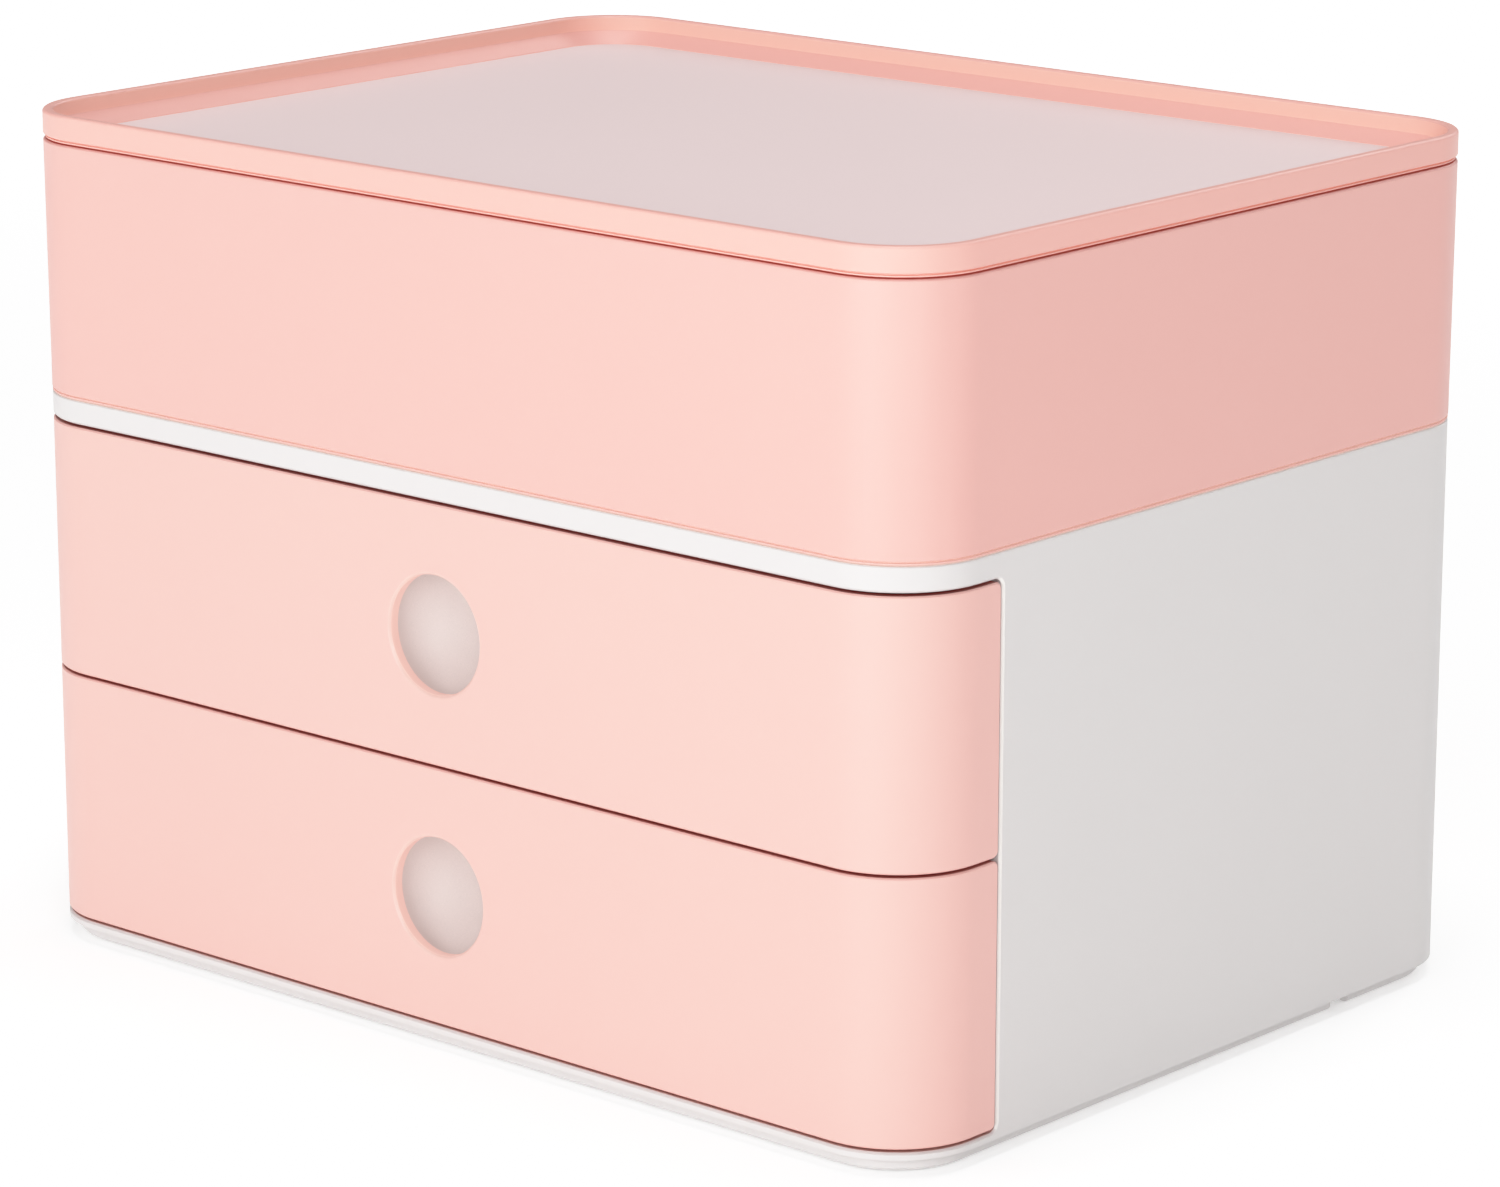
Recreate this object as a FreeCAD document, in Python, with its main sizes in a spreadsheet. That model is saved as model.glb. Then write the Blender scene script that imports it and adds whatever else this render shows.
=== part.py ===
import FreeCAD, Part
import os

import Sketcher

# Desk box: a housing with two drawers, a utility bin standing on it and a lid with a raised rim.
# X is the width, -Y the front, +Z up. The origin is on the desk, under the middle of the box.

doc = FreeCAD.newDocument("DeskDrawerBox")
sheet = doc.addObject("Spreadsheet::Sheet", "Sizes")

SIZES = [
    # outline shared by bin and lid
    ("body_width", 260.0, "bin and lid, side to side"),
    ("body_depth", 195.0, "bin and lid, front to back"),
    ("corner_radius", 20.0, "upright corners of every shell"),
    # housing
    ("housing_inset", 0.25, "housing outline inside the bin outline"),
    ("skirt_height", 3.1, "skirt rib below the walls"),
    ("skirt_inset", 2.6, "skirt rib inside the outline"),
    ("skirt_wall", 2.0, "thickness of the skirt rib"),
    ("skirt_bevel", 0.6, "outer foot of the skirt rib"),
    ("notch_width", 6.4, "notch through the skirt rib, each side"),
    ("notch_setback", 44.8, "middle of the notch, from the back"),
    ("base_thick", 1.6, "base plate"),
    ("side_wall", 2.6, "side walls"),
    ("back_wall", 2.4, "back wall"),
    ("wall_setback", 28.4, "side walls start this far behind the front"),
    ("bay_round", 2.0, "corners of the bay, seen from the side"),
    ("bay_bevel", 0.5, "outer edge all round the bay"),
    ("crown_height", 5.3, "top plate with its stacking rim"),
    ("crown_rim", 2.3, "width of the stacking rim"),
    ("crown_recess", 3.1, "depth inside the stacking rim"),
    ("crown_bevel", 0.25, "outer edge of the stacking rim"),
    # runners, ledges and stops in the housing
    ("runner_height", 0.8, "low ribs under the lower drawer"),
    ("runner_width", 1.6, "width of a rib"),
    ("runner_spacing", 196.0, "between the two ribs"),
    ("runner_setback", 8.0, "ribs start behind the drawer front"),
    ("ledge_width", 4.7, "ledges under the upper drawer"),
    ("ledge_thick", 1.6, "thickness of a ledge"),
    ("ledge_setback", 3.0, "ledges start behind the wall's front edge"),
    ("stop_length", 3.2, "pull-out stops, front to back"),
    ("stop_drop", 1.7, "pull-out stops below the ledge"),
    # drawers
    ("front_gap", 0.65, "slot round the drawer fronts"),
    ("front_height", 56.6, "one drawer front"),
    ("front_wall", 2.5, "thickness of a drawer front"),
    ("return_gap", 0.5, "slot between front and side wall"),
    ("front_bevel", 0.35, "outer edges of a drawer front"),
    ("return_round", 1.4, "corners of the side returns"),
    ("finger_hole", 26.0, "diameter of the hole in the front"),
    ("hole_bevel", 0.5, "edge of that hole"),
    ("slide_gap", 0.3, "running clearance under a tray"),
    ("tray_side_gap", 0.6, "tray to side wall"),
    ("tray_back_gap", 0.9, "tray to back wall"),
    ("tray_wall", 1.8, "tray walls"),
    ("tray_floor", 1.8, "tray floor"),
    ("tray_slope", 1.6, "sloping inner foot of the tray walls"),
    ("tray_bevel", 0.8, "outer foot of the tray walls"),
    ("rim_headroom", 0.55, "tray rim below the pull-out stops"),
    ("ear_length", 9.0, "stop ears on the tray rim"),
    ("ear_headroom", 0.35, "stop ears below the ledge"),
    ("drawer_travel", 130.0, "pull-out of a drawer"),
    ("stop_gap", 0.3, "left between ear and stop at full travel"),
    ("cup_radius", 15.0, "mouth of the finger cup"),
    ("cup_depth", 14.0, "depth of the finger cup"),
    ("cup_wall", 1.6, "thickness of the finger cup"),
    ("clip_width", 10.0, "hooks that hold front and tray together"),
    ("clip_thick", 1.6, "thickness of a hook"),
    ("clip_barb", 0.9, "barb behind the tray wall"),
    ("clip_nose", 1.4, "length of the barb"),
    ("clip_spacing", 150.0, "between the hooks, side to side"),
    ("clip_inset", 12.0, "hooks from the top and foot of the front"),
    ("clip_gap", 0.3, "play of a hook in its window"),
    # utility bin
    ("bin_height", 55.8, "outer wall"),
    ("bin_draft", 0.25, "narrower by this at its foot, each side"),
    ("bin_wall", 2.4, "walls at the foot"),
    ("bin_floor", 2.2, "floor"),
    ("bin_foot_bevel", 0.2, "outer foot"),
    ("bin_rim_bevel", 0.4, "rim"),
    ("bin_slope", 1.8, "sloping inner foot of the walls"),
    ("neck_height", 0.95, "between the bin's wall and the housing"),
    ("neck_inset", 0.9, "groove under the bin's wall"),
    ("neck_lip_inset", 0.35, "lip below that groove"),
    ("neck_lip_height", 0.4, "height of the lip"),
    ("nest_gap", 0.6, "bin foot inside the stacking rim"),
    ("seat_gap", 0.3, "under the resting faces of bin and lid"),
    # lid
    ("lid_slot", 1.1, "shadow slot between lid and bin"),
    ("lid_step_inset", 0.9, "upper step of that slot"),
    ("lid_lip_inset", 0.45, "lower step of that slot"),
    ("lid_lip_height", 0.4, "height of the lower step"),
    ("lid_wall_height", 5.3, "outer wall of the lid"),
    ("lid_rim", 2.4, "width of the rim"),
    ("lid_rim_depth", 3.5, "upright inner face of the rim"),
    ("lid_bevel", 0.4, "edges of the rim"),
    ("cove_width", 3.6, "sloping foot of the rim, sideways"),
    ("cove_drop", 2.8, "sloping foot of the rim, down"),
    ("panel_thick", 1.2, "light panel let into the lid"),
    ("panel_gap", 0.15, "joint round the panel"),
    ("panel_bevel", 0.3, "upper edge of the panel"),
    ("lid_floor", 1.6, "lid under the panel"),
    ("lid_fit", 0.4, "locating block of the lid inside the bin"),
    # feet
    ("foot_proud", 0.7, "rubber feet below the skirt rib"),
    ("foot_diameter", 12.0, "rubber foot"),
    ("foot_pocket", 0.8, "depth of its pocket"),
    ("foot_recess", 0.4, "boss above the bottom of the skirt rib"),
    ("foot_fit", 0.1, "foot in its pocket, radially"),
    ("foot_inset", 24.0, "middle of a foot from the outline"),
    ("boss_wall", 1.6, "ring round a foot"),
]

# Heights and places that several pieces share, worked out from the sizes above.
LEVELS = [
    ("skirt_foot", "foot_proud"),
    ("wall_foot", "skirt_foot + skirt_height"),
    ("base_top", "wall_foot + base_thick"),
    ("lower_foot", "base_top + front_gap"),
    ("drawer_pitch", "front_height + front_gap"),
    ("crown_foot", "lower_foot + 2 * drawer_pitch"),
    ("crown_top", "crown_foot + crown_height"),
    ("crown_floor", "crown_top - crown_recess"),
    ("bin_foot", "crown_top + neck_height"),
    ("bin_top", "bin_foot + bin_height"),
    ("bin_seat", "crown_top + seat_gap"),
    ("bin_lip", "bin_seat + neck_lip_height"),
    ("bin_nest", "crown_floor + seat_gap"),
    ("lid_foot", "bin_top + lid_slot"),
    ("lid_seat", "bin_top + seat_gap"),
    ("lid_step", "lid_seat + lid_lip_height"),
    ("lid_top", "lid_foot + lid_wall_height"),
    ("lid_crease", "lid_top - lid_rim_depth"),
    ("panel_top", "lid_crease - cove_drop"),
    ("panel_foot", "panel_top - panel_thick"),
    ("lid_underside", "panel_foot - lid_floor"),
    ("half_width", "body_width / 2"),
    ("half_depth", "body_depth / 2"),
    ("front_plane", "-half_depth"),
    ("housing_half", "half_width - housing_inset"),
    ("housing_back", "half_depth - housing_inset"),
    ("housing_front", "-housing_back"),
    ("wall_front", "front_plane + wall_setback"),
    ("bay_half", "housing_half - side_wall"),
    ("bay_corner", "corner_radius - side_wall"),
    ("bay_back", "housing_back - back_wall"),
    ("tray_foot", "base_top + runner_height + slide_gap"),
    ("ledge_top", "tray_foot + drawer_pitch - slide_gap"),
    ("ledge_foot", "ledge_top - ledge_thick"),
    ("ledge_front", "wall_front + ledge_setback"),
    ("ledge_back", "bay_back - bay_corner"),
    ("ledge_half", "bay_half - ledge_width"),
    ("stop_back", "ledge_front + stop_length"),
    ("stop_foot", "ledge_foot - stop_drop"),
    ("upper_stop_foot", "stop_foot + drawer_pitch"),
    ("tray_height", "stop_foot - rim_headroom - tray_foot"),
    ("ear_top", "ledge_foot - ear_headroom - tray_foot"),
    ("ear_front", "stop_back + drawer_travel + stop_gap"),
    ("ear_back", "ear_front + ear_length"),
    ("tray_half", "bay_half - tray_side_gap"),
    ("tray_corner", "corner_radius - front_wall - tray_side_gap"),
    ("tray_front", "housing_front + front_wall"),
    ("tray_back", "bay_back - tray_back_gap"),
    ("return_end", "wall_front - return_gap"),
    ("front_foot", "lower_foot - tray_foot"),
    ("front_top", "front_foot + front_height"),
    ("hole_height", "front_foot + front_height / 2"),
    ("clip_side", "clip_spacing / 2"),
    ("lower_clip", "front_foot + clip_inset"),
    ("upper_clip", "front_top - clip_inset"),
    ("runner_side", "runner_spacing / 2"),
    ("runner_front", "tray_front + runner_setback"),
    ("notch_back", "half_depth - notch_setback + notch_width / 2"),
    ("bin_inner_half", "half_width - bin_draft - bin_wall"),
    ("foot_x", "half_width - foot_inset"),
    ("foot_y", "half_depth - foot_inset"),
    ("boss_foot", "skirt_foot + foot_recess"),
    ("foot_top", "boss_foot + foot_pocket"),
]


def fill_sheet():
    """Writes the sizes, then the levels as formulas, each cell with its name."""
    rows = [(alias, str(number), note) for alias, number, note in SIZES]
    rows += [(alias, "=" + formula, "") for alias, formula in LEVELS]
    for row, (alias, content, note) in enumerate(rows, start=1):
        sheet.set("A%d" % row, alias)
        sheet.set("B%d" % row, content)
        sheet.set("C%d" % row, note)
        sheet.setAlias("B%d" % row, alias)
    doc.recompute()


def size(alias):
    """One value of the sheet, for the places where code has to find an edge."""
    return float(sheet.get(alias))


def amount(*terms):
    """A sum of named sizes, '-name' to take away: its formula and its value now."""
    formula = ""
    value = 0.0
    for term in terms:
        name = term.lstrip("-")
        taken = term.startswith("-")
        formula += (" - " if taken else " + ") + "Sizes." + name
        value += -size(name) if taken else size(name)
    return "0" + formula, value


# ---- sketches --------------------------------------------------------------

def new_body(name, label):
    body = doc.addObject("PartDesign::Body", name)
    body.Label = label
    return body


def new_sketch(body, name, plane, offset):
    """A sketch on one of the body's origin planes, moved along the plane's normal."""
    sketch = body.newObject("Sketcher::SketchObject", name)
    for feature in body.Origin.OriginFeatures:
        if feature.Role == plane:
            sketch.AttachmentSupport = (feature, "")
    sketch.MapMode = "FlatFace"
    sketch.setExpression("AttachmentOffset.Base.z", offset[0])
    return sketch


def fix(sketch, kind, places, wanted):
    """One dimension of a sketch, bound to its formula."""
    index = sketch.addConstraint(Sketcher.Constraint(kind, *places, wanted[1]))
    sketch.setExpression("Constraints[%d]" % index, wanted[0])


def line(sketch, x0, y0, x1, y1):
    start = FreeCAD.Vector(x0, y0, 0)
    end = FreeCAD.Vector(x1, y1, 0)
    return sketch.addGeometry(Part.LineSegment(start, end), False)


def arc(sketch, x, y, radius, start, end):
    """A quarter arc round (x, y), from and to in quarter turns."""
    circle = Part.Circle(FreeCAD.Vector(x, y, 0), FreeCAD.Vector(0, 0, 1), radius)
    turn = 1.5707963267948966
    return sketch.addGeometry(Part.ArcOfCircle(circle, start * turn, end * turn), False)


def join(sketch, kind, first, first_end, second, second_end):
    sketch.addConstraint(Sketcher.Constraint(kind, first, first_end, second, second_end))


def mark(sketch, kind, *lines):
    for index in lines:
        sketch.addConstraint(Sketcher.Constraint(kind, index))


def draw_outline(sketch, half, front, back, radius):
    """A rectangle with round corners, centred on X, from front to back."""
    x, y0, y1, r = half[1], front[1], back[1], radius[1]
    edges = [
        line(sketch, r - x, y0, x - r, y0),
        arc(sketch, x - r, y0 + r, r, 3, 4),
        line(sketch, x, y0 + r, x, y1 - r),
        arc(sketch, x - r, y1 - r, r, 0, 1),
        line(sketch, x - r, y1, r - x, y1),
        arc(sketch, r - x, y1 - r, r, 1, 2),
        line(sketch, -x, y1 - r, -x, y0 + r),
        arc(sketch, r - x, y0 + r, r, 2, 3),
    ]
    for index, edge in enumerate(edges):
        join(sketch, "Tangent", edge, 2, edges[(index + 1) % 8], 1)
    mark(sketch, "Horizontal", edges[0], edges[4])
    mark(sketch, "Vertical", edges[2], edges[6])
    for index in (3, 5, 7):
        sketch.addConstraint(Sketcher.Constraint("Equal", edges[1], edges[index]))
    fix(sketch, "Radius", (edges[1],), radius)
    fix(sketch, "DistanceX", (-1, 1, edges[2], 1), half)
    fix(sketch, "DistanceX", (edges[6], 1, -1, 1), half)
    fix(sketch, "DistanceY", (-1, 1, edges[0], 1), front)
    fix(sketch, "DistanceY", (-1, 1, edges[4], 1), back)


def draw_rectangle(sketch, left, right, foot, top):
    """A plain rectangle, each side at its own place."""
    x0, x1, y0, y1 = left[1], right[1], foot[1], top[1]
    edges = [
        line(sketch, x0, y0, x1, y0),
        line(sketch, x1, y0, x1, y1),
        line(sketch, x1, y1, x0, y1),
        line(sketch, x0, y1, x0, y0),
    ]
    for index, edge in enumerate(edges):
        join(sketch, "Coincident", edge, 2, edges[(index + 1) % 4], 1)
    mark(sketch, "Horizontal", edges[0], edges[2])
    mark(sketch, "Vertical", edges[1], edges[3])
    fix(sketch, "DistanceX", (-1, 1, edges[3], 1), left)
    fix(sketch, "DistanceX", (-1, 1, edges[1], 1), right)
    fix(sketch, "DistanceY", (-1, 1, edges[0], 1), foot)
    fix(sketch, "DistanceY", (-1, 1, edges[2], 1), top)


def draw_circle(sketch, across, along, radius):
    centre = FreeCAD.Vector(across[1], along[1], 0)
    circle = Part.Circle(centre, FreeCAD.Vector(0, 0, 1), radius[1])
    index = sketch.addGeometry(circle, False)
    fix(sketch, "Radius", (index,), radius)
    fix(sketch, "DistanceX", (-1, 1, index, 3), across)
    fix(sketch, "DistanceY", (-1, 1, index, 3), along)


def shell_outline(body, name, height, *insets):
    """The box's own outline, pulled in by the named insets, corners kept parallel."""
    sketch = new_sketch(body, name, "XY_Plane", height)
    inward = ["-" + inset for inset in insets]
    half = amount("half_width", *inward)
    front = amount("front_plane", *insets)
    back = amount("half_depth", *inward)
    draw_outline(sketch, half, front, back, amount("corner_radius", *inward))
    return sketch


def housing_outline(sketch, *insets):
    """The housing's outline, whose corners keep the full radius, pulled in likewise."""
    inward = ["-" + inset for inset in insets]
    half = amount("housing_half", *inward)
    front = amount("housing_front", *insets)
    back = amount("housing_back", *inward)
    draw_outline(sketch, half, front, back, amount("corner_radius", *inward))


# ---- features --------------------------------------------------------------

def checked(body, feature, grows):
    """Recomputes and makes sure that the feature added or took away material."""
    before = 0.0
    if feature.BaseFeature is not None:
        before = feature.BaseFeature.Shape.Volume
    doc.recompute()
    after = feature.Shape.Volume
    if grows != (after > before) or abs(after - before) < 1e-3:
        raise RuntimeError("%s left the volume at %.3f" % (feature.Name, after))
    body.Tip = feature
    return feature


def pad(body, name, sketch, length, down=False):
    feature = body.newObject("PartDesign::Pad", name)
    feature.Profile = sketch
    feature.Reversed = down
    feature.setExpression("Length", length[0])
    return checked(body, feature, True)


def pocket(body, name, sketch, length, up=False):
    feature = body.newObject("PartDesign::Pocket", name)
    feature.Profile = sketch
    feature.Reversed = up
    feature.setExpression("Length", length[0])
    return checked(body, feature, False)


def dress(body, kind, name, length, wanted, chosen):
    """A fillet or a chamfer on the edges that the chosen test picks."""
    base = body.Tip
    names = []
    for index, edge in enumerate(base.Shape.Edges, start=1):
        if chosen(edge):
            names.append("Edge%d" % index)
    if not names:
        raise RuntimeError("%s found no edge" % name)
    feature = body.newObject(kind, name)
    feature.Base = (base, names)
    feature.setExpression(length, wanted[0])
    doc.recompute()
    body.Tip = feature
    return feature


def fillet(body, name, radius, chosen):
    """Rounds the edges of the body that the chosen test picks."""
    return dress(body, "PartDesign::Fillet", name, "Radius", radius, chosen)


def bevel(body, name, width, chosen):
    """Cuts the edges of the body that the chosen test picks at 45 degrees."""
    return dress(body, "PartDesign::Chamfer", name, "Size", width, chosen)


def near(a, b):
    return abs(a - b) < 1e-4


def level_at(height):
    """Edges that lie flat at one height."""
    def test(edge):
        box = edge.BoundBox
        return near(box.ZMin, height) and near(box.ZMax, height)
    return test


def level_within(height, half, back):
    """Flat edges at one height, inside the given half width and depth."""
    def test(edge):
        box = edge.BoundBox
        inside = max(-box.XMin, box.XMax) < half + 1e-3 and max(-box.YMin, box.YMax) < back + 1e-3
        return level_at(height)(edge) and inside
    return test


def level_outside(height, half, back):
    """Flat edges at one height that follow the outline of the given half width and depth."""
    def test(edge):
        box = edge.BoundBox
        wide = max(-box.XMin, box.XMax) > half - 1e-3
        deep = max(-box.YMin, box.YMax) > back - 1e-3
        return level_at(height)(edge) and (wide or deep)
    return test


# ---- housing ---------------------------------------------------------------

def make_housing():
    body = new_body("Housing", "housing")
    # the moulding as one block, then the stacking recess and the drawer bay cut from it
    outline = new_sketch(body, "HousingOutline", "XY_Plane", amount("wall_foot"))
    housing_outline(outline)
    pad(body, "HousingBlock", outline, amount("crown_top", "-wall_foot"))

    recess = new_sketch(body, "RecessOutline", "XY_Plane", amount("crown_top"))
    housing_outline(recess, "crown_rim")
    pocket(body, "StackingRecess", recess, amount("crown_recess"))

    bay_height = amount("crown_foot", "-base_top")
    mouth = new_sketch(body, "BayMouth", "XY_Plane", amount("base_top"))
    draw_rectangle(mouth, amount("-half_width"), amount("half_width"),
                   amount("front_plane"), amount("wall_front"))
    pocket(body, "BayMouthCut", mouth, bay_height, up=True)

    inside = new_sketch(body, "BayInside", "XY_Plane", amount("base_top"))
    draw_outline(inside, amount("bay_half"), amount("front_plane"), amount("bay_back"),
                 amount("bay_corner"))
    pocket(body, "BayInsideCut", inside, bay_height, up=True)

    def bay_corner_edge(edge):
        box = edge.BoundBox
        across = box.XLength > 1 and near(box.YLength, 0) and near(box.ZLength, 0)
        placed = near(box.YMin, size("wall_front"))
        return across and placed and box.XLength < size("side_wall") + 1

    fillet(body, "BayRound", amount("bay_round"), bay_corner_edge)

    def bay_outer_edge(edge):
        box = edge.BoundBox
        upright = box.ZLength > 10 and near(box.YMin, size("wall_front"))
        return upright and max(-box.XMin, box.XMax) > size("housing_half") - 1e-3

    bevel(body, "BayBevel", amount("bay_bevel"), bay_outer_edge)
    bevel(body, "CrownBevel", amount("crown_bevel"),
          level_outside(size("crown_top"), size("housing_half"), size("housing_back")))

    # skirt rib under the base, with a notch in each side
    skirt = new_sketch(body, "SkirtOutline", "XY_Plane", amount("wall_foot"))
    housing_outline(skirt, "skirt_inset")
    housing_outline(skirt, "skirt_inset", "skirt_wall")
    pad(body, "SkirtRib", skirt, amount("skirt_height"), down=True)
    bevel(body, "SkirtBevel", amount("skirt_bevel"),
          level_outside(size("skirt_foot"), size("housing_half") - size("skirt_inset"),
                        size("housing_back") - size("skirt_inset")))
    notch = new_sketch(body, "SkirtNotch", "XY_Plane", amount("skirt_foot"))
    draw_rectangle(notch, amount("-half_width"), amount("half_width"),
                   amount("notch_back", "-notch_width"), amount("notch_back"))
    pocket(body, "SkirtNotches", notch, amount("skirt_height"), up=True)

    # ledges for the upper tray, with the lower drawer's stops under them
    ledges = new_sketch(body, "LedgePlan", "XY_Plane", amount("ledge_foot"))
    stops = new_sketch(body, "StopPlan", "XY_Plane", amount("ledge_foot"))
    crown_stops = new_sketch(body, "CrownStopPlan", "XY_Plane", amount("crown_foot"))
    runners = new_sketch(body, "RunnerPlan", "XY_Plane", amount("base_top"))
    for left, right in (("ledge_half", "bay_half"), ("-bay_half", "-ledge_half")):
        draw_rectangle(ledges, amount(left), amount(right), amount("ledge_front"),
                       amount("ledge_back"))
        for plan in (stops, crown_stops):
            draw_rectangle(plan, amount(left), amount(right), amount("ledge_front"),
                           amount("stop_back"))
    for side in ("runner_side", "-runner_side"):
        draw_rectangle(runners, amount(side, "-runner_width"), amount(side),
                       amount("runner_front"), amount("ledge_back"))
    pad(body, "Ledges", ledges, amount("ledge_thick"))
    pad(body, "LedgeStops", stops, amount("stop_drop"), down=True)
    pad(body, "CrownStops", crown_stops, amount("crown_foot", "-upper_stop_foot"), down=True)
    pad(body, "Runners", runners, amount("runner_height"))

    # bosses that hold the rubber feet
    bosses = new_sketch(body, "BossPlan", "XY_Plane", amount("wall_foot"))
    pockets = new_sketch(body, "FootPockets", "XY_Plane", amount("boss_foot"))
    half_foot = ("Sizes.foot_diameter / 2 + Sizes.foot_fit",
                 size("foot_diameter") / 2 + size("foot_fit"))
    boss = (half_foot[0] + " + Sizes.boss_wall", half_foot[1] + size("boss_wall"))
    for across in ("foot_x", "-foot_x"):
        for along in ("foot_y", "-foot_y"):
            draw_circle(bosses, amount(across), amount(along), boss)
            draw_circle(pockets, amount(across), amount(along), half_foot)
    pad(body, "FootBosses", bosses, amount("wall_foot", "-boss_foot"), down=True)
    pocket(body, "FootPocketCuts", pockets, amount("foot_pocket"), up=True)
    return body


def make_foot(name, across, along):
    body = new_body(name.title().replace("_", ""), name)
    plan = new_sketch(body, name + "_plan", "XY_Plane", ("0", 0.0))
    radius = ("Sizes.foot_diameter / 2", size("foot_diameter") / 2)
    draw_circle(plan, amount(across), amount(along), radius)
    pad(body, name + "_pad", plan, amount("foot_top"))
    return body


# ---- drawers ---------------------------------------------------------------

def draw_cup(sketch, radius, depth):
    """Half section of a round cap: its mouth on the vertical axis, its bottom on the other."""
    a, d = radius[1], depth[1]
    ball = (a * a + d * d) / (2 * d)
    middle = FreeCAD.Vector(d - ball, 0, 0)
    circle = Part.Circle(middle, FreeCAD.Vector(0, 0, 1), ball)
    rim = circle.parameter(FreeCAD.Vector(0, a, 0))
    axis = line(sketch, 0, 0, d, 0)
    cap = sketch.addGeometry(Part.ArcOfCircle(circle, 0, rim), False)
    mouth = line(sketch, 0, a, 0, 0)
    join(sketch, "Coincident", axis, 1, -1, 1)
    join(sketch, "Coincident", axis, 2, cap, 1)
    join(sketch, "Coincident", cap, 2, mouth, 1)
    join(sketch, "Coincident", mouth, 2, axis, 1)
    mark(sketch, "Horizontal", axis)
    mark(sketch, "Vertical", mouth)
    sketch.addConstraint(Sketcher.Constraint("PointOnObject", cap, 3, axis))
    fix(sketch, "DistanceX", (-1, 1, axis, 2), depth)
    fix(sketch, "DistanceY", (-1, 1, cap, 2), radius)


def cup_sketch(body, name):
    """A sketch in the upright middle plane, its origin on the axis of the finger hole."""
    sketch = new_sketch(body, name, "YZ_Plane", ("0", 0.0))
    sketch.setExpression("AttachmentOffset.Base.x", "Sizes.tray_front")
    sketch.setExpression("AttachmentOffset.Base.y", "Sizes.hole_height")
    return sketch


def make_tray(name, label, lift):
    """A drawer tray. Its own zero height is the underside of its floor."""
    body = new_body(name, label)
    outline = new_sketch(body, name + "Outline", "XY_Plane", ("0", 0.0))
    draw_outline(outline, amount("tray_half"), amount("tray_front"), amount("tray_back"),
                 amount("tray_corner"))
    pad(body, name + "Block", outline, amount("ear_top"))
    bevel(body, name + "FootBevel", amount("tray_bevel"), level_at(0.0))
    hollow = new_sketch(body, name + "Hollow", "XY_Plane", amount("ear_top"))
    draw_outline(hollow, amount("tray_half", "-tray_wall"), amount("tray_front", "tray_wall"),
                 amount("tray_back", "-tray_wall"), amount("tray_corner", "-tray_wall"))
    pocket(body, name + "Inside", hollow, amount("ear_top", "-tray_floor"))
    # the walls come down to the rim in front of the ears and behind them; the ears are what
    # stays of the side walls, and meet the pull-out stops
    rim = new_sketch(body, name + "Rim", "XY_Plane", amount("ear_top"))
    draw_rectangle(rim, amount("-half_width"), amount("half_width"), amount("front_plane"),
                   amount("ear_front"))
    draw_rectangle(rim, amount("-half_width"), amount("half_width"), amount("ear_back"),
                   amount("ear_back", "half_depth"))
    pocket(body, name + "RimCut", rim, amount("ear_top", "-tray_height"))
    bevel(body, name + "Slope", amount("tray_slope"), level_at(size("tray_floor")))

    # finger cup, a cap that bulges into the tray behind the hole of the front
    outside = cup_sketch(body, name + "CupOutside")
    draw_cup(outside, amount("cup_radius", "cup_wall"), amount("cup_depth", "cup_wall"))
    bulge = body.newObject("PartDesign::Revolution", name + "CupBulge")
    bulge.Profile = outside
    bulge.ReferenceAxis = (outside, ["H_Axis"])
    bulge.Angle = 360
    checked(body, bulge, True)
    cavity = cup_sketch(body, name + "CupCavity")
    draw_cup(cavity, amount("cup_radius"), amount("cup_depth"))
    cup = body.newObject("PartDesign::Groove", name + "Cup")
    cup.Profile = cavity
    cup.ReferenceAxis = (cavity, ["H_Axis"])
    cup.Angle = 360
    checked(body, cup, False)

    # windows for the hooks of the front
    windows = new_sketch(body, name + "Windows", "XZ_Plane", amount("-tray_front"))
    half = ("Sizes.clip_width / 2 + Sizes.clip_gap", size("clip_width") / 2 + size("clip_gap"))
    for side in ("", "-"):
        middle = amount(side + "clip_side")
        left = (middle[0] + " - (" + half[0] + ")", middle[1] - half[1])
        right = (middle[0] + " + " + half[0], middle[1] + half[1])
        draw_rectangle(windows, left, right, amount("lower_clip", "-clip_gap"),
                       amount("lower_clip", "clip_thick", "clip_gap"))
        draw_rectangle(windows, left, right, amount("upper_clip", "-clip_thick", "-clip_gap"),
                       amount("upper_clip", "clip_gap"))
    pocket(body, name + "WindowCuts", windows, amount("tray_wall", "clip_gap"))
    body.setExpression("Placement.Base.z", lift)
    return body


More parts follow.
